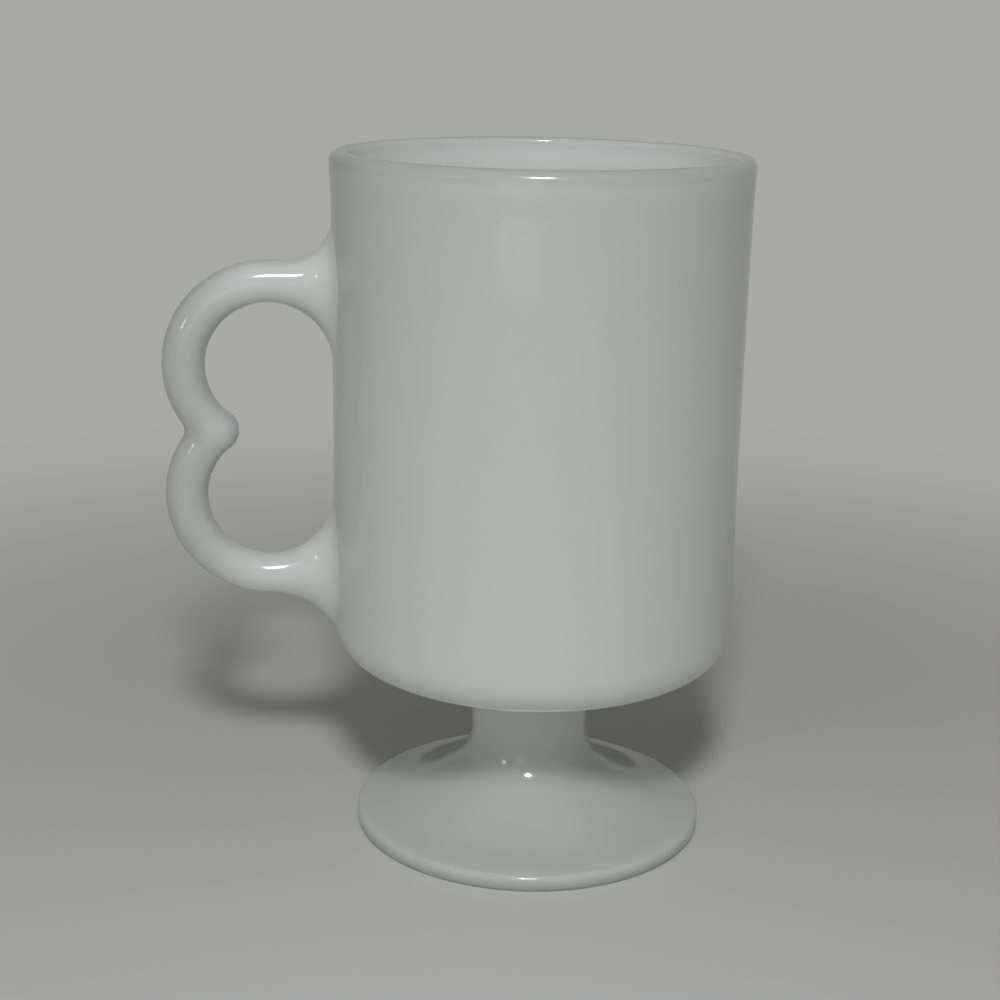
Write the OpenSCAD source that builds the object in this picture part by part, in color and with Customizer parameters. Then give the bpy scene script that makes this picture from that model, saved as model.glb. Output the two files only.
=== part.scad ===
// Pedestal mug in pressed opal glass: bowl, double finger loop and hollow pedestal.
// The origin is the centre of the foot's resting plane. +Z is up and the handle points to -X.

/* [Bowl] */
// Height of the rim's crest above the resting plane
mug_h = 127; // [118:0.5:136]
// Outer radius of the wall where it is narrowest
bowl_r = 37.2; // [34:0.1:40]
// Height of that narrowest place above the bottom corner
waist_rise = 31; // [20:1:45]
// How far the wall spreads from there to the rim
lip_out = 0.25; // [0.1:0.05:1]
// How far the wall spreads from there to the bottom corner
base_out = 0.3; // [0.1:0.05:1]
// Thickness of the wall at the rim
wall_t = 3; // [2.4:0.1:3.6]
// How far the rim's rounded bead stands proud of the wall, on each side
bead_out = 0.2; // [0.1:0.05:0.5]
// Thickness of the wall just above the floor
base_t = 4; // [3.2:0.1:5]
// Radius of the rounded bottom corner, outside
corner_r = 7; // [5:0.1:8]
// Height of the centre of that rounding above the joint with the pedestal
corner_rise = 11.5; // [9.5:0.1:14]
// Radius of the rounded bottom corner, inside
inner_corner_r = 9; // [6:0.5:12]
// Thickness of the floor beside the bottom corner
floor_t = 3.8; // [3:0.1:5]

/* [Pedestal] */
// Outer radius of the foot
foot_r = 33; // [29:0.5:37]
// Thickness of the foot's rounded edge
edge_t = 3; // [2.4:0.1:3.6]
// Slope of the foot's top where it reaches the edge, in degrees
edge_slope = 10; // [8:0.5:12]
// Width of the flat ring that the mug rests on
ring_w = 3; // [2:0.1:4]
// Height of the hollow under the foot
hollow_h = 11.5; // [10:0.1:13]
// Radius of the neck where it is narrowest
neck_r = 11; // [9.5:0.1:12.5]
// Radius of the hollow curve at the lower end of the neck
throat_r = 9; // [7:0.5:10]
// Height of the lower end of the neck
throat_h = 18.3; // [16.5:0.1:21]
// Length of the neck's straight part
neck_len = 2.7; // [1:0.1:4]
// Radius of the hollow curve from the neck up to the bowl
flare_r = 11; // [9.5:0.5:12.5]
// Height of the joint with the bowl above the neck's straight part
joint_rise = 8.5; // [7:0.1:9.4]

/* [Handle] */
// Radius of the round rod
rod_r = 3.8; // [3.4:0.05:4.5]
// Radius of each finger loop, to the middle of the rod
loop_r = 15.1; // [14:0.1:18]
// Distance from the wall to the loops' centres
loop_out = 11.1; // [10:0.1:13]
// Turn at which each loop ends in the cusp, beyond its outermost place, in degrees
cusp_turn = 52; // [42:1:60]
// How much wider than the rod the swelling at the cusp is
cusp_swell = 0.1; // [0.05:0.05:0.8]
// Height of the lower end of the rod above the centre of the bowl's bottom corner
root_rise = 9.1; // [7:0.1:11]
// Radius of the blend above the upper root
top_blend_r = 7.5; // [5:0.5:9]
// Radius of the blend under the lower root
low_blend_r = 14; // [10:0.5:16]
// Radius of the blends at the sides of the roots
side_blend_r = 3.5; // [2:0.1:5]

/* [Hidden] */
$fn = 144;
// Overrun of every cut past the face that it leaves through
over = 1;
// How far a curve reaches past the line or curve that it blends into, so that they cross cleanly
graze = 0.001;
// Depth of the handle's roots inside the bowl's outline, before they are trimmed to it
root_sink = 2.4;
// Clearance of a root's small end inside the rod, so that the two surfaces never graze
root_inset = 0.05;
// Length of a root's small end inside the rod
root_lap = 0.5;
// Sides of a root's section, and steps along it
root_sides = 32;
root_steps = 12;
glass = [0.93, 0.94, 0.93];

// Unit vector from one point to another
function toward(a, b) = (b - a) / norm(b - a);

// Point where the line from p touches the circle (c, r) on its outer side
function touch(c, r, p) =
    let (turn = atan2(p.y - c.y, p.x - c.x) - acos(r / norm(p - c)))
    c + r * [cos(turn), sin(turn)];

// Outline of the foot: a round edge, then a sweep that touches the edge and the throat
edge_r = edge_t / 2;
edge_c = [foot_r - edge_r, edge_r];
edge_up = [sin(edge_slope), cos(edge_slope)];
edge_touch = edge_c + edge_r * edge_up;
throat_c = [neck_r + throat_r, throat_h];
across = edge_touch - throat_c;
sweep_r = (pow(throat_r, 2) - across * across) / (2 * (across * edge_up + throat_r));
sweep_c = edge_touch + sweep_r * edge_up;
throat_touch = sweep_c + sweep_r * toward(sweep_c, throat_c);

// Neck and joint
flare_h = throat_h + neck_len;
flare_c = [neck_r + flare_r, flare_h];
joint_h = flare_h + joint_rise;

// Hollow under the foot: a crown on the axis, then a sweep that keeps the foot's wall even
ring_r = edge_c.x - ring_w;
hollow_r = norm(sweep_c - [ring_r, 0]);
crown_drop = sweep_c.y - hollow_h;
crown_r = (pow(crown_drop, 2) + pow(sweep_c.x, 2) - pow(hollow_r, 2)) / (2 * (hollow_r - crown_drop));
crown_c = [0, hollow_h - crown_r];
crown_touch = crown_c + crown_r * toward(crown_c, sweep_c);

// Outline of the bowl, whose underside touches the flare and the bottom corner
corner_c = [bowl_r + base_out - corner_r, joint_h + corner_rise];
rise = corner_c - flare_c;
underside_slope = atan2(rise.y, rise.x) - asin((corner_r + flare_r) / norm(rise));
down = [sin(underside_slope), -cos(underside_slope)];
corner_touch = corner_c + corner_r * down;
flare_touch = flare_c - flare_r * down;
bead_r = wall_t / 2 + bead_out;
waist = [bowl_r, corner_c.y + waist_rise];
wall_top = [bowl_r + lip_out, mug_h - bead_r];
wall_foot = touch(corner_c, corner_r, waist);
bead_c = wall_top - [wall_t / 2, 0];

// Inside of the bowl
inner_top = wall_top - [wall_t, 0];
floor_h = corner_c.y - corner_r + floor_t;
inner_corner_c = [bowl_r + base_out - base_t - inner_corner_r, floor_h + inner_corner_r];
inner_foot = touch(inner_corner_c, inner_corner_r, inner_top);

// Places along the handle
loop_x = bowl_r + base_out + loop_out;
lower_rod_h = corner_c.y + root_rise;
lower_h = lower_rod_h + loop_r;
cusp_h = lower_h + loop_r * sin(cusp_turn);
upper_h = cusp_h + loop_r * sin(cusp_turn);
upper_rod_h = upper_h + loop_r;
cusp_x = loop_x + loop_r * cos(cusp_turn);

// Outer radius of the bowl's wall at height h
function wall_at(h) =
    let (end = h > waist.y ? wall_top : wall_foot)
    waist.x + (end.x - waist.x) * (h - waist.y) / (end.y - waist.y);

// Depth of a blend of radius r, at the distance u from the wall
function blend(r, u) = u >= r ? 0 : r - sqrt(pow(r, 2) - pow(r - max(u, 0), 2));

// Centre of the blend under the lower root, which touches the rod and the bowl's corner
low_c_h = lower_rod_h - rod_r - low_blend_r;
low_c = [
    corner_c.x + sqrt(pow(corner_r + low_blend_r, 2) - pow(corner_c.y - low_c_h, 2)),
    low_c_h
];
low_touch = low_c + low_blend_r * toward(low_c, corner_c);

// Reach of the lower root below the rod's middle, at the distance s from the mug's axis
function low_reach(s) =
    let (inward = max(low_c.x - max(s, low_touch.x), 0))
    lower_rod_h - low_c.y - sqrt(pow(low_blend_r, 2) - pow(inward, 2));

// Distances from the mug's axis of a root's sections, closest together at the wall
function root_stops(wall) = [
    wall - root_sink,
    for (k = [0 : root_steps - 1]) wall + (loop_x - wall) * (1 - cos(90 * k / root_steps)),
    loop_x + root_lap
];

// One section of a root: half an ellipse up and half an ellipse down
function root_ring(s, h, side, up, reach) = [
    for (i = [0 : root_sides - 1])
        let (turn = 360 * i / root_sides)
        [-s, side * cos(turn), h + (sin(turn) > 0 ? up : reach) * sin(turn)]
];

module bowl_outline() {
    difference() {
        union() {
            polygon([
                [0, joint_h],
                [flare_touch.x, joint_h],
                flare_touch,
                corner_touch,
                corner_c,
                wall_foot,
                waist,
                wall_top,
                [0, wall_top.y]
            ]);
            translate(corner_c) circle(corner_r + graze);
        }
        translate(flare_c) circle(flare_r + graze);
    }
}

module bowl_hollow() {
    polygon([
        [0, floor_h],
        [inner_corner_c.x, floor_h],
        inner_corner_c,
        inner_foot,
        inner_top,
        [inner_top.x, mug_h + over],
        [0, mug_h + over]
    ]);
    translate(inner_corner_c) circle(inner_corner_r + graze);
}

// What the handle is trimmed to
module bowl_filled() {
    bowl_outline();
    translate(bead_c) circle(bead_r);
}

module bowl() {
    color(glass)
        rotate_extrude()
            union() {
                difference() {
                    bowl_outline();
                    bowl_hollow();
                }
                translate(bead_c) circle(bead_r);
            }
}

// The pedestal before its curves are cut: up to the slanted line on which edge and sweep touch
module pedestal_blank() {
    polygon([
        [0, 0],
        [edge_c.x, 0],
        edge_c,
        edge_touch + edge_r * edge_up,
        [edge_c.x, joint_h],
        [0, joint_h]
    ]);
    translate(edge_c) circle(edge_r);
}

// What the sweep, throat, neck and flare leave outside
module pedestal_outside() {
    intersection() {
        translate(sweep_c) circle(sweep_r + graze);
        square([sweep_c.x, throat_touch.y]);
    }
    translate(throat_c) circle(throat_r + 2 * graze);
    translate([neck_r, throat_h]) square([foot_r, neck_len]);
    translate(flare_c) circle(flare_r + graze);
    translate([flare_c.x, throat_touch.y]) square([foot_r, joint_h]);
}

module foot_hollow() {
    difference() {
        translate([0, -over]) square([edge_c.x, over + crown_touch.y]);
        translate(sweep_c) circle(hollow_r);
    }
    intersection() {
        translate(crown_c) circle(crown_r + graze);
        square([edge_c.x, hollow_h + over]);
    }
}

module pedestal() {
    color(glass)
        rotate_extrude()
            difference() {
                pedestal_blank();
                pedestal_outside();
                foot_hollow();
            }
}

// One finger loop, from the given turn over the given span
module loop(h, turn) {
    translate([-loop_x, 0, h])
        rotate([90, 0, 0])
            rotate([0, 0, turn])
                rotate_extrude(angle = 90 + cusp_turn)
                    translate([loop_r, 0])
                        circle(rod_r);
}

// A blended root through the given sections, from inside the bowl to inside the rod
module root(rings) {
    n = root_sides;
    last = len(rings) - 1;
    polyhedron(
        points = [for (ring = rings) each ring],
        faces = [
            [for (i = [n - 1 : -1 : 0]) i],
            [for (i = [0 : n - 1]) last * n + i],
            for (k = [0 : last - 1], i = [0 : n - 1])
                let (a = k * n + i, b = k * n + (i + 1) % n)
                each [[a, b, a + n], [b, b + n, a + n]]
        ]
    );
}

module upper_root() {
    wall = wall_at(upper_rod_h);
    end_r = rod_r - root_inset;
    root([
        for (s = root_stops(wall))
            root_ring(
                s,
                upper_rod_h,
                side = end_r + blend(side_blend_r, s - wall),
                up = end_r + blend(top_blend_r, s - wall),
                reach = end_r + blend(loop_x - wall, s - wall)
            )
    ]);
}

module lower_root() {
    wall = wall_at(lower_rod_h);
    end_r = rod_r - root_inset;
    root([
        for (s = root_stops(wall))
            root_ring(
                s,
                lower_rod_h,
                side = end_r + blend(side_blend_r, s - wall),
                up = end_r + blend(loop_x - wall, s - wall),
                reach = low_reach(s) - root_inset
            )
    ]);
}

module handle() {
    color(glass)
        difference() {
            union() {
                loop(upper_h, 90);
                loop(lower_h, 180 - cusp_turn);
                translate([-cusp_x, 0, cusp_h]) sphere(rod_r + cusp_swell);
                upper_root();
                lower_root();
            }
            rotate_extrude() bowl_filled();
        }
}

bowl();
handle();
pedestal();
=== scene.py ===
"""Looks of a footed mug in pressed opal glass: fine meshes, glass materials, table, light and camera.

Lengths in the sections on shape are in millimetres. The origin is the centre of the foot's resting
plane, +Z is up and the handle points to -X.
"""

import math

import bpy
import numpy as np
from mathutils import Matrix, Vector


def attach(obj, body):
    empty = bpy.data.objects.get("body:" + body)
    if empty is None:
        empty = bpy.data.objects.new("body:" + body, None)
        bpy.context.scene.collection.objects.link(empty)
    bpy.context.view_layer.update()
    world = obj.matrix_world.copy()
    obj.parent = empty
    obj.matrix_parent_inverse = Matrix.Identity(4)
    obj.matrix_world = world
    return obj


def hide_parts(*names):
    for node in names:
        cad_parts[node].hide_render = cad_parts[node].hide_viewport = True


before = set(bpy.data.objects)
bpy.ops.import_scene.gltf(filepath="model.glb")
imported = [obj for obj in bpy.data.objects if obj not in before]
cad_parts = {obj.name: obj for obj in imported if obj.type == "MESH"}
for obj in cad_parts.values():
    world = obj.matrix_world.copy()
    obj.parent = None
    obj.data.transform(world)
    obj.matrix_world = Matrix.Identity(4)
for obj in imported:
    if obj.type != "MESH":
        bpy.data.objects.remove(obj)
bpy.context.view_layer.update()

MM = 0.001

# The sizes carry the names that the solids' source gives them. What only the scene has is commented.

# Bowl
MUG_H = 127.0
BOWL_R = 37.2
WAIST_RISE = 31.0
LIP_OUT = 0.25
BASE_OUT = 0.3
WALL_T = 3.0
BEAD_OUT = 0.2
# Height over which the rim's bead swells out of the wall
BEAD_RISE = 7.0
# Tighter rounding of the lip's inner side, beside its narrow flat top
LIP_INNER_R = 0.9
BASE_T = 4.0
CORNER_R = 7.0
CORNER_RISE = 11.5
INNER_CORNER_R = 9.0
FLOOR_T = 3.8

# Pedestal
FOOT_R = 33.0
EDGE_T = 3.0
# Rounding of the foot's edge above and below its short upright side
EDGE_TOP_R = 0.9
EDGE_LOW_R = 0.5
EDGE_SLOPE = math.radians(10.0)
RING_W = 3.0
HOLLOW_H = 11.5
NECK_R = 11.0
THROAT_R = 9.0
THROAT_H = 18.3
NECK_LEN = 2.7
FLARE_R = 11.0
JOINT_RISE = 8.5

# Handle
ROD_R = 3.8
LOOP_R = 15.1
LOOP_OUT = 11.1
CUSP_TURN = math.radians(52.0)
ROOT_RISE = 9.1
TOP_BLEND_R = 7.5
LOW_BLEND_R = 14.0
# Wider than in the solid, whose roots are faceted
SIDE_BLEND_R = 5.0
# Height and half width of the mould's parting ridge along the rod, and how far from the wall it fades in
RIDGE_H = 0.18
RIDGE_W = 0.45
RIDGE_FADE = 6.0
# How far the root's blends are followed past the wall's line, so that they never lie along the wall
ROOT_DIP = 0.05
# Depth to which the handle's mesh runs on inside the bowl's wall
ROOT_SINK = 1.2
# Size of the blend in the outer notch between the loops, and where it starts and how far it takes to grow,
# measured outwards past the cusp
NOTCH_BLEND = 1.6
NOTCH_FROM = -3.0
NOTCH_SPREAD = 5.0
# Size of the blend inside the cusp
CUSP_BLEND = 0.15
# Size of the cells that the handle's rough form is made even with
CELL = 0.55

# Segments round the lathe-turned pieces, and length and largest turn of one step along their outlines
TURN_STEPS = 288
OUTLINE_STEP = 0.8
OUTLINE_TURN = 0.12
# Distance under which two points of an outline are one
SAME_POINT = 0.02

# Rough tubes: points round them, rings along a loop and a root, and how far they run into each other
TUBE_SIDES = 24
LOOP_RINGS = 30
ROOT_RINGS = 24
LOOP_LAP = 0.15
ROOT_LAP = 0.8
SINK_LAP = 0.6
# Moving points onto the surface: step for the slope, least slope squared, shortest and longest move, and
# rounds
NUDGE = 0.02
LEAST_SLOPE = 0.05
SHORTEST_MOVE = 1e-9
LONGEST_MOVE = 0.6
FIRST_ROUNDS = 6
LAST_ROUNDS = 3


def vec(x, y):
    return np.array([x, y], float)


def toward(a, b):
    """Unit vector from one point to another."""
    return (b - a) / np.linalg.norm(b - a)


# Outline of the foot, as in the solid: a round edge and a sweep that touches edge and throat
edge_r = EDGE_T / 2
edge_c = vec(FOOT_R - edge_r, edge_r)
edge_up = vec(math.sin(EDGE_SLOPE), math.cos(EDGE_SLOPE))
edge_touch = edge_c + edge_r * edge_up
throat_c = vec(NECK_R + THROAT_R, THROAT_H)
span = edge_touch - throat_c
sweep_r = (THROAT_R**2 - span @ span) / (2 * (span @ edge_up + THROAT_R))
sweep_c = edge_touch + sweep_r * edge_up
throat_touch = sweep_c + sweep_r * toward(sweep_c, throat_c)
flare_c = vec(NECK_R + FLARE_R, THROAT_H + NECK_LEN)
joint_h = flare_c[1] + JOINT_RISE
joint_r = flare_c[0] - math.sqrt(FLARE_R**2 - JOINT_RISE**2)

# Roundings of the foot's edge
edge_top_x = FOOT_R - EDGE_TOP_R
edge_top_h = edge_touch[1] - (EDGE_TOP_R + (edge_top_x - edge_touch[0]) * edge_up[0]) / edge_up[1]
edge_top_c = vec(edge_top_x, edge_top_h)
edge_low_c = vec(FOOT_R - EDGE_LOW_R, EDGE_LOW_R)

# Hollow under the foot
ring_r = edge_c[0] - RING_W
hollow_r = np.linalg.norm(sweep_c - vec(ring_r, 0))
crown_drop = sweep_c[1] - HOLLOW_H
crown_r = (crown_drop**2 + sweep_c[0] ** 2 - hollow_r**2) / (2 * (hollow_r - crown_drop))
crown_c = vec(0, HOLLOW_H - crown_r)
crown_touch = crown_c + crown_r * toward(crown_c, sweep_c)

# Outline of the bowl
corner_c = vec(BOWL_R + BASE_OUT - CORNER_R, joint_h + CORNER_RISE)
rise = corner_c - flare_c
underside_slope = math.atan2(rise[1], rise[0]) - math.asin((CORNER_R + FLARE_R) / np.linalg.norm(rise))
down = vec(math.sin(underside_slope), -math.cos(underside_slope))
bead_r = WALL_T / 2 + BEAD_OUT
wall_top = vec(BOWL_R + LIP_OUT, MUG_H - bead_r)
waist_h = corner_c[1] + WAIST_RISE
bead_c = wall_top - vec(WALL_T / 2, 0)
floor_h = corner_c[1] - CORNER_R + FLOOR_T
inner_corner_c = vec(BOWL_R + BASE_OUT - BASE_T - INNER_CORNER_R, floor_h + INNER_CORNER_R)

# Places along the handle, measured outwards from the mug's axis
loop_x = BOWL_R + BASE_OUT + LOOP_OUT
lower_rod_h = corner_c[1] + ROOT_RISE
lower_h = lower_rod_h + LOOP_R
cusp_h = lower_h + LOOP_R * math.sin(CUSP_TURN)
upper_h = cusp_h + LOOP_R * math.sin(CUSP_TURN)
upper_rod_h = upper_h + LOOP_R
cusp_x = loop_x + LOOP_R * math.cos(CUSP_TURN)


def smooth(t):
    """Smooth step from 0 to 1."""
    t = np.clip(t, 0, 1)
    return t * t * (3 - 2 * t)


def bead_at(h):
    """How far the rim's soft bead stands proud of the wall at height h."""
    return BEAD_OUT * smooth((h - (wall_top[1] - BEAD_RISE)) / BEAD_RISE)


def wall_r(h):
    """Outer radius of the bowl's wall at height h, with its slight waist and the rim's soft bead."""
    below = np.clip((waist_h - h) / (waist_h - corner_c[1]), 0, 1)
    above = np.clip((h - waist_h) / (wall_top[1] - waist_h), 0, 1)
    return BOWL_R + BASE_OUT * below**2 + LIP_OUT * above**2 + bead_at(h)


def inner_r(h):
    """Inner radius of the bowl's wall at height h."""
    low = inner_corner_c[0] + INNER_CORNER_R
    top = wall_top[0] - WALL_T
    share = (h - inner_corner_c[1]) / (wall_top[1] - inner_corner_c[1])
    return low + (top - low) * share - bead_at(h)


# Centre of the rounding on the lip's inner side
lip_inner_c = vec(inner_r(MUG_H - LIP_INNER_R) + LIP_INNER_R, MUG_H - LIP_INNER_R)


def arc(centre, radius, start, end):
    """Points along an arc, with both ends."""
    swing = abs(end - start)
    count = max(3, math.ceil(swing * radius / OUTLINE_STEP), math.ceil(swing / OUTLINE_TURN))
    turns = np.linspace(start, end, count + 1)
    return [centre + radius * vec(math.cos(t), math.sin(t)) for t in turns]


def along(radius_at, low, high):
    """Points up or down a wall whose radius is a function of the height."""
    count = max(2, math.ceil(abs(high - low) / (2 * OUTLINE_STEP)))
    return [vec(radius_at(h), h) for h in np.linspace(low, high, count + 1)]


def straight(a, b):
    """Points along a straight line, without its ends."""
    count = max(1, math.ceil(np.linalg.norm(b - a) / (2 * OUTLINE_STEP)))
    return [a + (b - a) * k / count for k in range(1, count)]


def outline(*runs):
    """One outline from runs of points, leaving out points that fall together."""
    points = []
    for point in (p for run in runs for p in run):
        if not points or np.linalg.norm(point - points[-1]) > SAME_POINT:
            points.append(point)
    return points


def angle_of(v):
    """Turn of a direction from the outward one."""
    return math.atan2(v[1], v[0])


def bowl_outline():
    quarter = math.pi / 2
    flare_start = angle_of(vec(joint_r, joint_h) - flare_c)
    flare_end = angle_of(-down)
    return outline(
        straight(vec(0, joint_h), vec(joint_r, joint_h)),
        arc(flare_c, FLARE_R, flare_start, flare_end),
        straight(flare_c - FLARE_R * down, corner_c + CORNER_R * down),
        arc(corner_c, CORNER_R, angle_of(down), 0),
        along(wall_r, corner_c[1], wall_top[1]),
        arc(bead_c, bead_r, 0, quarter),
        arc(lip_inner_c, LIP_INNER_R, quarter, 2 * quarter),
        along(inner_r, lip_inner_c[1], inner_corner_c[1]),
        arc(inner_corner_c, INNER_CORNER_R, 0, -quarter),
        straight(inner_corner_c - vec(0, INNER_CORNER_R), vec(0, floor_h)),
    )


def pedestal_outline():
    quarter = math.pi / 2
    crown_turn = angle_of(crown_touch - crown_c)
    return outline(
        straight(vec(0, joint_h), vec(joint_r, joint_h)),
        arc(flare_c, FLARE_R, angle_of(vec(joint_r, joint_h) - flare_c), 2 * quarter),
        straight(flare_c - vec(FLARE_R, 0), throat_c - vec(THROAT_R, 0)),
        arc(throat_c, THROAT_R, 2 * quarter, 2 * math.pi + angle_of(throat_touch - throat_c)),
        arc(sweep_c, sweep_r, angle_of(throat_touch - sweep_c), angle_of(-edge_up)),
        arc(edge_top_c, EDGE_TOP_R, angle_of(edge_up), 0),
        arc(edge_low_c, EDGE_LOW_R, 0, -quarter),
        straight(vec(edge_low_c[0], 0), vec(ring_r, 0)),
        arc(sweep_c, hollow_r, angle_of(vec(ring_r, 0) - sweep_c), angle_of(crown_touch - sweep_c)),
        arc(crown_c, crown_r, crown_turn, quarter)[:-1],
    )


def add_mesh(name, points, faces):
    """A smooth-shaded object from points in millimetres."""
    mesh = bpy.data.meshes.new(name)
    mesh.from_pydata([tuple(MM * c for c in p) for p in points], [], faces)
    mesh.validate()
    mesh.shade_smooth()
    piece = bpy.data.objects.new(name, mesh)
    bpy.context.scene.collection.objects.link(piece)
    return piece


def lathe(name, line):
    """A closed solid of revolution: the outline starts and ends next to the axis."""
    turns = [2 * math.pi * k / TURN_STEPS for k in range(TURN_STEPS)]
    points = [(p[0] * math.cos(t), p[0] * math.sin(t), p[1]) for p in line for t in turns]
    faces = []
    for row in range(len(line) - 1):
        for k in range(TURN_STEPS):
            a = row * TURN_STEPS + k
            b = row * TURN_STEPS + (k + 1) % TURN_STEPS
            faces.append((a, b, b + TURN_STEPS, a + TURN_STEPS))
    points.append((0, 0, line[0][1]))
    points.append((0, 0, line[-1][1]))
    last = (len(line) - 1) * TURN_STEPS
    for k in range(TURN_STEPS):
        after = (k + 1) % TURN_STEPS
        faces.append((after, k, len(points) - 2))
        faces.append((last + k, last + after, len(points) - 1))
    return add_mesh(name, points, faces)


def blend(radius, u):
    """Depth of a hollow blend of this radius, at the distance u from the wall."""
    inward = np.clip(radius - np.maximum(u, 0), 0, None)
    return radius - np.sqrt(np.maximum(radius**2 - inward**2, 0))


def low_reach(s):
    """Reach of the lower root under the rod's middle, down to the blend that touches the bowl's corner."""
    centre_h = lower_rod_h - ROD_R - LOW_BLEND_R
    side = math.sqrt((CORNER_R + LOW_BLEND_R) ** 2 - (corner_c[1] - centre_h) ** 2)
    centre = vec(corner_c[0] + side, centre_h)
    stop = (centre + LOW_BLEND_R * toward(centre, corner_c))[0]
    inward = np.clip(centre[0] - np.maximum(s, stop), 0, None)
    return lower_rod_h - centre_h - np.sqrt(LOW_BLEND_R**2 - inward**2)


def root_gap(s, y, h, middle, up, reach, side):
    """Rough distance from a root whose section is half an ellipse up and half an ellipse down."""
    above = h > middle
    tall = np.where(above, up, reach)
    round_ = np.sqrt(((h - middle) / tall) ** 2 + (y / side) ** 2)
    return (round_ - 1) * np.minimum(tall, side)


def loop_gap(s, y, h, centre_h, sign):
    """Distance from one finger loop's rod, which runs from its root's side to the cusp."""
    across = s - loop_x
    tall = sign * (h - centre_h)
    turn = np.arctan2(-tall, across)
    on_ring = np.sqrt((np.hypot(across, tall) - LOOP_R) ** 2 + y**2)
    at_cusp = np.sqrt((s - cusp_x) ** 2 + (h - cusp_h) ** 2 + y**2)
    return np.where(turn < CUSP_TURN, on_ring, at_cusp) - ROD_R


def handle_gap(points):
    """Rough distance from the handle's surface: negative inside, zero on it."""
    s, y, h = -points[:, 0], points[:, 1], points[:, 2]
    out = np.hypot(s, y)
    u = out - wall_r(h) + ROOT_DIP
    reach = loop_x - BOWL_R
    side = ROD_R + blend(SIDE_BLEND_R, u)
    hole_side = ROD_R + blend(reach, u)
    upper = root_gap(s, y, h, upper_rod_h, ROD_R + blend(TOP_BLEND_R, u), hole_side, side)
    lower = root_gap(s, y, h, lower_rod_h, hole_side, low_reach(out + ROOT_DIP), side)
    upper = np.where(s < loop_x, upper, loop_gap(s, y, h, upper_h, 1))
    lower = np.where(s < loop_x, lower, loop_gap(s, y, h, lower_h, -1))
    size = NOTCH_BLEND * smooth((s - cusp_x - NOTCH_FROM) / NOTCH_SPREAD) + CUSP_BLEND
    mix = np.clip(0.5 + 0.5 * (lower - upper) / size, 0, 1)
    both = lower + (upper - lower) * mix - size * mix * (1 - mix)
    return both + RIDGE_H * (1 - np.exp(-((y / RIDGE_W) ** 2))) * smooth(u / RIDGE_FADE)


def slope_along(points, step):
    """Slope of the handle's gap along one axis."""
    return (handle_gap(points + step) - handle_gap(points - step)) / (2 * NUDGE)


def settled(points, rounds):
    """The points moved onto the handle's surface."""
    for _ in range(rounds):
        gap = handle_gap(points)
        slope = np.stack([slope_along(points, step) for step in NUDGE * np.eye(3)], axis=1)
        size = np.maximum((slope**2).sum(axis=1), LEAST_SLOPE)
        move = -(gap / size)[:, None] * slope
        length = np.maximum(np.linalg.norm(move, axis=1), SHORTEST_MOVE)
        points = points + move * np.minimum(1, LONGEST_MOVE / length)[:, None]
    return points


def tube(rings):
    """Closed tube through rings of points: its points and faces."""
    count = len(rings[0])
    points = [tuple(p) for ring in rings for p in ring]
    faces = [tuple(range(count))[::-1]]
    faces.append(tuple((len(rings) - 1) * count + k for k in range(count)))
    for row in range(len(rings) - 1):
        for k in range(count):
            a = row * count + k
            b = row * count + (k + 1) % count
            faces.append((a, b, b + count, a + count))
    return points, faces


def rough_handle():
    """Tubes along the loops and roots, which overlap, as the start of the handle's surface."""
    turns = np.linspace(0, 2 * math.pi, TUBE_SIDES, endpoint=False)
    parts = []
    for centre_h, sign in ((upper_h, 1), (lower_h, -1)):
        rings = []
        for turn in np.linspace(-math.pi / 2 - LOOP_LAP, CUSP_TURN, LOOP_RINGS):
            out = vec(math.cos(turn), -sign * math.sin(turn))
            middle = vec(loop_x, centre_h) + LOOP_R * out
            rings.append([
                (-(middle[0] + ROD_R * math.cos(t) * out[0]), ROD_R * math.sin(t),
                 middle[1] + ROD_R * math.cos(t) * out[1])
                for t in turns
            ])
        parts.append(tube(rings))
    for middle, upper in ((upper_rod_h, True), (lower_rod_h, False)):
        wall = float(wall_r(middle))
        rings = []
        for s in np.linspace(wall - ROOT_SINK - SINK_LAP, loop_x + ROOT_LAP, ROOT_RINGS):
            u = s - wall + ROOT_DIP
            hole_side = ROD_R + blend(loop_x - BOWL_R, u)
            up = ROD_R + blend(TOP_BLEND_R, u) if upper else hole_side
            reach = hole_side if upper else low_reach(s)
            side = ROD_R + blend(SIDE_BLEND_R, u)
            rings.append([
                (-s, side * math.cos(t), middle + (up if math.sin(t) > 0 else reach) * math.sin(t))
                for t in turns
            ])
        parts.append(tube(rings))
    return parts


def settle_mesh(mesh, rounds):
    """Moves the mesh's points onto the handle's surface, apart from those inside the bowl's wall."""
    coords = np.empty(3 * len(mesh.vertices))
    mesh.vertices.foreach_get("co", coords)
    coords = coords.reshape(-1, 3) / MM
    inside = np.hypot(coords[:, 0], coords[:, 1]) < wall_r(coords[:, 2]) - 0.5 * ROOT_SINK
    coords[~inside] = settled(coords[~inside], rounds)
    mesh.vertices.foreach_set("co", (coords * MM).ravel())
    mesh.update()


def modified_mesh(piece):
    """A new mesh of the piece with its modifiers applied."""
    bpy.context.view_layer.update()
    seen = piece.evaluated_get(bpy.context.evaluated_depsgraph_get())
    return bpy.data.meshes.new_from_object(seen)


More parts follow.
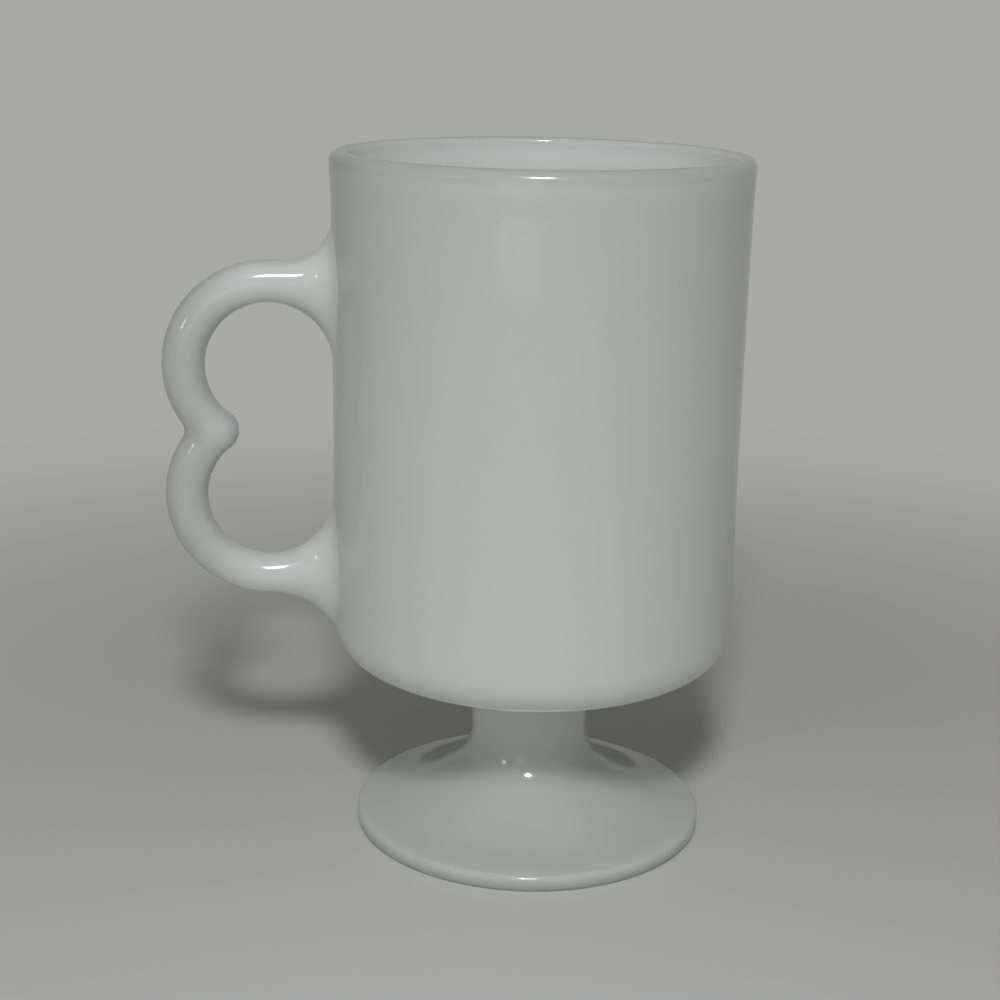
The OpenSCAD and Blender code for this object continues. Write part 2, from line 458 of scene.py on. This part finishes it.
def make_handle():
    """The handle: rough tubes as one even mesh, moved onto the surface, refined, and moved again."""
    points = []
    faces = []
    for part_points, part_faces in rough_handle():
        start = len(points)
        points.extend(part_points)
        faces.extend(tuple(start + k for k in face) for face in part_faces)
    rough = add_mesh("handle_rough", points, faces)
    even = rough.modifiers.new("even", "REMESH")
    even.mode = "VOXEL"
    even.voxel_size = CELL * MM
    mesh = modified_mesh(rough)
    bpy.data.objects.remove(rough)
    settle_mesh(mesh, FIRST_ROUNDS)
    piece = bpy.data.objects.new("handle_glass", mesh)
    bpy.context.scene.collection.objects.link(piece)
    fine = piece.modifiers.new("fine", "SUBSURF")
    fine.levels = 1
    fine.render_levels = 1
    smooth_mesh = modified_mesh(piece)
    piece.modifiers.clear()
    piece.data = smooth_mesh
    settle_mesh(smooth_mesh, LAST_ROUNDS)
    smooth_mesh.shade_smooth()
    return piece


# Tint of each piece's glass
GLASS_TINT = {
    "bowl": (0.57, 0.6, 0.583),
    "handle": (0.58, 0.615, 0.598),
    "pedestal": (0.576, 0.602, 0.567),
}
# Painted light and shade, as shares of those tints: painted shade towards the bowl's rim and painted light
# towards its base, painted light inside the bowl, and painted shade on the thin lip, whose top faces up into
# the light
RIM_PAINTED_SHADE = 0.92
BASE_PAINTED_LIGHT = 1.12
INSIDE_PAINTED_LIGHT = 1.55
LIP_PAINTED_SHADE = 0.78
# Painted light on the neck, which lies in the bowl's shadow, and painted shade where the neck spreads into
# the foot, standing in for the bowl's shadow there
NECK_PAINTED_LIGHT = 1.12
THROAT_PAINTED_SHADE = 0.97
# Painted shade on the foot's edge, whose side faces the key lamp
EDGE_PAINTED_SHADE = 0.91
# Painted light along the inner side of the finger loops and painted shade along their outer side, whose
# upright rods get less light from above
INNER_PAINTED_LIGHT = 1.12
OUTER_PAINTED_SHADE = 0.80
# Where those shares come in, in millimetres: below the rim for the lip's painted shade, inwards from it for
# the inside's painted light, out from the neck for the throat and the foot, in from the foot's edge, and for
# the fused roots in from the wall in the bowl and out from it in the handle
LIP_SHADE_DEPTHS = (3.5, 0.6)
INSIDE_LIGHT_FADE = 1.0
THROAT_SHADE_REACH = 4.0
SPREAD_REACHES = (5.0, 12.0)
EDGE_SHADE_DEPTHS = (1.0, 0.1)
FUSED_REACHES = {"bowl": (0.5, 7.5), "handle": (0.5, 9.0)}
# Share of the tint that the cloudier places keep, where the clouds start and end, and their scale
CLOUD_SHARE = 0.965
CLOUD_FROM = 0.3
CLOUD_TO = 0.7
CLOUD_SCALE = 22
# How far light wanders inside the glass, in metres, and how much less of it in blue
MILK_DEPTH = {"bowl": 0.010, "handle": 0.022, "pedestal": 0.011}
MILK_RADII = (1.0, 1.0, 0.92)
# Gloss where the glass is clean and where it has been handled
CLEAN_ROUGHNESS = 0.09
RUBBED_ROUGHNESS = 0.19
RUBBED_FROM = 0.35
RUBBED_TO = 0.75
RUB_SCALE = 140
# Detail of the noise behind the broad forms and behind the handling marks
BROAD_DETAIL = 2
FINE_DETAIL = 4
GLASS_IOR = 1.5
# Waves of the pressed surface and its fine orange peel: scale, strength, height in metres
WAVES = (55, 0.14, 0.0006)
PEEL = (900, 0.05, 0.0001)

# Painted light and shade, as what the tint is multiplied by: height or radius, its two ends in millimetres,
# and the shares there
PAINTED_LIGHT_SHARES = {
    "bowl": [
        # Painted light towards the bowl's base and painted shade towards its rim
        ("height", joint_h, MUG_H, BASE_PAINTED_LIGHT, RIM_PAINTED_SHADE),
        # Painted light on the inside of the bowl, where the key lamp falls on the far wall
        ("radius", lip_inner_c[0] - INSIDE_LIGHT_FADE, lip_inner_c[0], INSIDE_PAINTED_LIGHT, 1.0),
        # Painted shade on the lip, which faces up into the light
        ("height", MUG_H - LIP_SHADE_DEPTHS[0], MUG_H - LIP_SHADE_DEPTHS[1], 1.0, LIP_PAINTED_SHADE),
    ],
    # Painted light on the loops' inner side and painted shade on their outer side
    "handle": [("radius", loop_x, loop_x + LOOP_R, INNER_PAINTED_LIGHT, OUTER_PAINTED_SHADE)],
    "pedestal": [
        # Painted light on the neck and painted shade on the throat
        ("radius", NECK_R, NECK_R + THROAT_SHADE_REACH, NECK_PAINTED_LIGHT, THROAT_PAINTED_SHADE),
        # The throat's painted shade given back further out on the foot
        ("radius", NECK_R + SPREAD_REACHES[0], NECK_R + SPREAD_REACHES[1], 1.0, 1 / THROAT_PAINTED_SHADE),
        # Painted shade on the foot's edge
        ("radius", FOOT_R - EDGE_SHADE_DEPTHS[0], FOOT_R - EDGE_SHADE_DEPTHS[1], 1.0, EDGE_PAINTED_SHADE),
    ],
}
# Over which the light's wandering comes in, beside the fused roots: measure and its two ends
FUSED_RANGES = {
    "bowl": ("x", *[-BOWL_R + reach for reach in FUSED_REACHES["bowl"]]),
    "handle": ("radius", *[BOWL_R + reach for reach in FUSED_REACHES["handle"]]),
}


def opal_glass(name, node):
    """Glossy opal glass: a milky body that light enters, faint waves of pressing and handling marks, and
    painted light and shade in its tint.
    """
    mat = bpy.data.materials.new(name)
    mat.use_nodes = True
    nodes = mat.node_tree.nodes
    links = mat.node_tree.links
    shader = nodes["Principled BSDF"]
    place = nodes.new("ShaderNodeTexCoord").outputs["Object"]
    split = nodes.new("ShaderNodeSeparateXYZ")
    links.new(place, split.inputs["Vector"])
    flat = nodes.new("ShaderNodeCombineXYZ")
    links.new(split.outputs["X"], flat.inputs["X"])
    links.new(split.outputs["Y"], flat.inputs["Y"])
    radius = nodes.new("ShaderNodeVectorMath")
    radius.operation = "LENGTH"
    links.new(flat.outputs["Vector"], radius.inputs[0])
    measures = {"height": split.outputs["Z"], "radius": radius.outputs["Value"], "x": split.outputs["X"]}

    def grade(measure, start, end, low, high):
        step = nodes.new("ShaderNodeMapRange")
        step.interpolation_type = "SMOOTHSTEP"
        step.inputs["From Min"].default_value = start * MM
        step.inputs["From Max"].default_value = end * MM
        step.inputs["To Min"].default_value = low
        step.inputs["To Max"].default_value = high
        links.new(measures[measure], step.inputs["Value"])
        return step.outputs["Result"]

    def noise(scale, detail):
        drift = nodes.new("ShaderNodeTexNoise")
        drift.inputs["Scale"].default_value = scale
        drift.inputs["Detail"].default_value = detail
        links.new(place, drift.inputs["Vector"])
        return drift.outputs["Fac"]

    # Slow drift of the milkiness through the glass
    tone = nodes.new("ShaderNodeValToRGB")
    cloudy, clear = tone.color_ramp.elements
    cloudy.position = CLOUD_FROM
    cloudy.color = (*[CLOUD_SHARE * c for c in GLASS_TINT[node]], 1)
    clear.position = CLOUD_TO
    clear.color = (*GLASS_TINT[node], 1)
    links.new(noise(CLOUD_SCALE, BROAD_DETAIL), tone.inputs["Fac"])
    body = tone.outputs["Color"]
    # Painted light and shade: the tint is scaled up or down along height or radius
    for painted_range in PAINTED_LIGHT_SHARES[node]:
        scaled = nodes.new("ShaderNodeVectorMath")
        scaled.operation = "SCALE"
        links.new(body, scaled.inputs[0])
        links.new(grade(*painted_range), scaled.inputs["Scale"])
        body = scaled.outputs["Vector"]
    links.new(body, shader.inputs["Base Color"])

    # Relief of the pressed surface
    normal = None
    for scale, strength, height in (WAVES, PEEL):
        bump = nodes.new("ShaderNodeBump")
        bump.inputs["Strength"].default_value = strength
        bump.inputs["Distance"].default_value = height
        links.new(noise(scale, BROAD_DETAIL), bump.inputs["Height"])
        if normal:
            links.new(normal, bump.inputs["Normal"])
        normal = bump.outputs["Normal"]
    links.new(normal, shader.inputs["Normal"])

    # Handling marks: the gloss varies a little
    rub = nodes.new("ShaderNodeMapRange")
    rub.inputs["From Min"].default_value = RUBBED_FROM
    rub.inputs["From Max"].default_value = RUBBED_TO
    rub.inputs["To Min"].default_value = CLEAN_ROUGHNESS
    rub.inputs["To Max"].default_value = RUBBED_ROUGHNESS
    links.new(noise(RUB_SCALE, FINE_DETAIL), rub.inputs["Value"])
    links.new(rub.outputs["Result"], shader.inputs["Roughness"])

    shader.inputs["IOR"].default_value = GLASS_IOR
    # Light wanders less where bowl and handle are fused, so that no seam shows there
    if node in FUSED_RANGES:
        links.new(grade(*FUSED_RANGES[node], 0.0, 1.0), shader.inputs["Subsurface Weight"])
    else:
        shader.inputs["Subsurface Weight"].default_value = 1.0
    shader.inputs["Subsurface Radius"].default_value = MILK_RADII
    shader.inputs["Subsurface Scale"].default_value = MILK_DEPTH[node]
    return mat


pieces = {
    "bowl": lathe("bowl_glass", bowl_outline()),
    "handle": make_handle(),
    "pedestal": lathe("pedestal_glass", pedestal_outline()),
}
for node, piece in pieces.items():
    piece.data.materials.clear()
    piece.data.materials.append(opal_glass(node + "_opal", node))
    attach(piece, "root")
    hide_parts(node)


# The photograph is taken from a little towards the handle. Lamps and camera are given as if it were taken
# straight from the front, and are turned together about the mug's axis
VIEW = Matrix.Rotation(math.radians(-8.0), 4, "Z")

# Table: one wide sheet, in metres, which pales into the surroundings away from the mug
TABLE_HALF = 8.0
TABLE_COLOUR = (0.625, 0.628, 0.612)
TABLE_ROUGHNESS = 0.75
SURROUND_COLOUR = (0.395, 0.395, 0.375)
# Distances from the mug's axis over which the table pales
PALER_FROM = 0.05
PALER_TO = 0.36


def seen_share(nodes, links):
    """1 for what the camera, a reflection or a look through glass sees, 0 for light that falls on things."""
    path = nodes.new("ShaderNodeLightPath")
    share = path.outputs["Is Camera Ray"]
    for ray in ("Is Glossy Ray", "Is Transmission Ray"):
        either = nodes.new("ShaderNodeMath")
        either.operation = "MAXIMUM"
        links.new(share, either.inputs[0])
        links.new(path.outputs[ray], either.inputs[1])
        share = either.outputs["Value"]
    return share


def make_stage():
    """The table, which keeps the mug's shadow and shows the surroundings' colour further away."""
    sides = (-TABLE_HALF, TABLE_HALF)
    points = [(x, y, 0) for y in sides for x in sides]
    mesh = bpy.data.meshes.new("table")
    mesh.from_pydata(points, [], [(0, 1, 3, 2)])
    table = bpy.data.objects.new("table", mesh)
    bpy.context.scene.collection.objects.link(table)
    mat = bpy.data.materials.new("table_matt")
    mat.use_nodes = True
    nodes = mat.node_tree.nodes
    links = mat.node_tree.links
    shader = nodes["Principled BSDF"]
    shader.inputs["Base Color"].default_value = (*TABLE_COLOUR, 1)
    shader.inputs["Roughness"].default_value = TABLE_ROUGHNESS
    glow = nodes.new("ShaderNodeEmission")
    glow.inputs["Color"].default_value = (*SURROUND_COLOUR, 1)
    radius = nodes.new("ShaderNodeVectorMath")
    radius.operation = "LENGTH"
    links.new(nodes.new("ShaderNodeTexCoord").outputs["Object"], radius.inputs[0])
    far = nodes.new("ShaderNodeMapRange")
    far.interpolation_type = "SMOOTHSTEP"
    far.inputs["From Min"].default_value = PALER_FROM
    far.inputs["From Max"].default_value = PALER_TO
    links.new(radius.outputs["Value"], far.inputs["Value"])
    both = nodes.new("ShaderNodeMath")
    both.operation = "MULTIPLY"
    links.new(far.outputs["Result"], both.inputs[0])
    links.new(seen_share(nodes, links), both.inputs[1])
    mix = nodes.new("ShaderNodeMixShader")
    links.new(both.outputs["Value"], mix.inputs["Fac"])
    links.new(shader.outputs["BSDF"], mix.inputs[1])
    links.new(glow.outputs["Emission"], mix.inputs[2])
    links.new(mix.outputs["Shader"], nodes["Material Output"].inputs["Surface"])
    mesh.materials.append(mat)


make_stage()

# Light: place and size in metres and power in watts of each lamp, all aimed at the foot of the bowl
AIM = (0.0, 0.0, 0.05)
LAMPS = {
    "key": ((0.0, -0.42, 0.415), 0.08, 1.58),
    "overhead": ((0.0, -0.05, 0.9), 0.5, 0.14),
    "front_fill": ((-0.14, -0.7, 0.08), 0.3, 0.20),
    "left_fill": ((-0.7, -0.7, 0.3), 0.12, 0.35),
}


def area_light(name, place, size, power):
    """A round lamp that shines on the mug and isn't seen itself."""
    light = bpy.data.lights.new(name, "AREA")
    light.shape = "DISK"
    light.size = size
    light.energy = power
    lamp = bpy.data.objects.new(name, light)
    lamp.location = VIEW @ Vector(place)
    lamp.rotation_euler = (Vector(AIM) - lamp.location).to_track_quat("-Z", "Y").to_euler()
    lamp.visible_camera = False
    bpy.context.scene.collection.objects.link(lamp)


for name, (place, size, power) in LAMPS.items():
    area_light(name, place, size, power)

# Light that the room gives. What is seen of the room is the surroundings' colour instead
ROOM_COLOUR = (0.13, 0.13, 0.125)

world = bpy.data.worlds.new("room")
world.use_nodes = True
nodes = world.node_tree.nodes
links = world.node_tree.links
room = nodes.new("ShaderNodeMix")
room.data_type = "RGBA"
room.inputs["A"].default_value = (*ROOM_COLOUR, 1)
room.inputs["B"].default_value = (*SURROUND_COLOUR, 1)
links.new(seen_share(nodes, links), room.inputs["Factor"])
links.new(room.outputs["Result"], nodes["Background"].inputs["Color"])
bpy.context.scene.world = world

# Camera: where it stands, how far it looks down and sideways, and how far it is tilted
CAMERA_Y = -0.316
CAMERA_Z = 0.152
PITCH = 0.2744
YAW = -0.0203
ROLL = 0.0187
LENS = 63.48
SENSOR = 36
NEAR_CLIP = 0.01

camera_data = bpy.data.cameras.new("camera")
camera_data.lens = LENS
camera_data.sensor_width = SENSOR
camera_data.clip_start = NEAR_CLIP
camera = bpy.data.objects.new("camera", camera_data)
ahead = np.array([math.sin(YAW) * math.cos(PITCH), math.cos(YAW) * math.cos(PITCH), -math.sin(PITCH)])
level = np.array([math.cos(YAW), -math.sin(YAW), 0.0])
above = np.cross(level, ahead)
right = math.cos(ROLL) * level + math.sin(ROLL) * above
top = -math.sin(ROLL) * level + math.cos(ROLL) * above
camera.matrix_world = VIEW @ Matrix([
    (right[0], top[0], -ahead[0], 0.0),
    (right[1], top[1], -ahead[1], CAMERA_Y),
    (right[2], top[2], -ahead[2], CAMERA_Z),
    (0, 0, 0, 1),
])
bpy.context.scene.collection.objects.link(camera)
bpy.context.scene.camera = camera
bpy.context.scene.view_settings.view_transform = "Standard"
